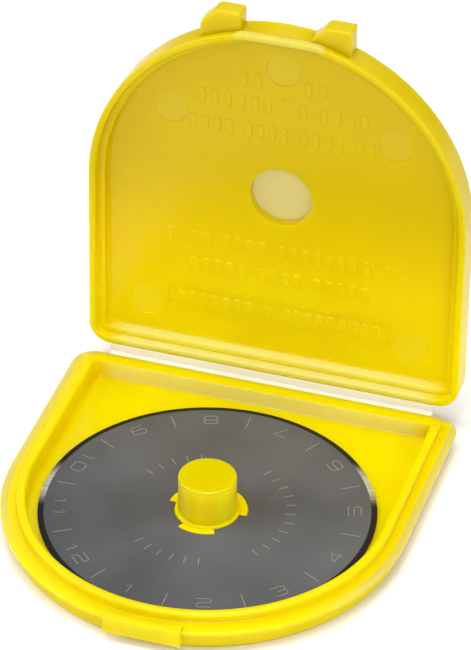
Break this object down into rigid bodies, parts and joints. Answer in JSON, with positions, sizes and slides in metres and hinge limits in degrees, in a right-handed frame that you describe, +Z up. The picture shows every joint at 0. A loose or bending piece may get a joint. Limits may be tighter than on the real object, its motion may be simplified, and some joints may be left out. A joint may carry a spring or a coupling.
{
  "type": "rotary cutter blade case",
  "caption": "Hinged translucent yellow case standing open, with a round steel cutting blade on its centre post.",
  "frame": {"origin": "on the underside of the base, on the axis of the post and the blade", "axes": "+Z up along the post, +Y towards the hinge, +X to the right with the front tab facing the user"},
  "size_m": [0.0548, 0.0616, 0.0595],
  "materials": {
    "case_plastic": "translucent moulded polypropylene, soft gloss",
    "thin_plastic": "the same polypropylene where it is thin enough to look pale",
    "blade_steel": "ground tool steel with a polished bevel"
  },
  "bodies": {
    "base": {"base_shell": "case_plastic", "center_post": "case_plastic", "front_tab": "case_plastic", "hinge_base_leaf": "thin_plastic"},
    "lid": {"hinge_lid_leaf": "thin_plastic", "lid_shell": "case_plastic", "lid_window": "thin_plastic", "left_ear": "case_plastic", "right_ear": "case_plastic"},
    "blade": {"blade": "blade_steel"}
  },
  "joints": [
    {"name": "lid_swing", "type": "hinge", "parent": "base", "child": "lid", "pos_m": [0, 0.028, 0.00325], "axis": [-1, 0, 0], "range_deg": [-91.5, 62]},
    {"name": "blade_lift", "type": "slide", "parent": "base", "child": "blade", "axis": [0, 0, 1], "range_m": [0, 0.02]}
  ]
}
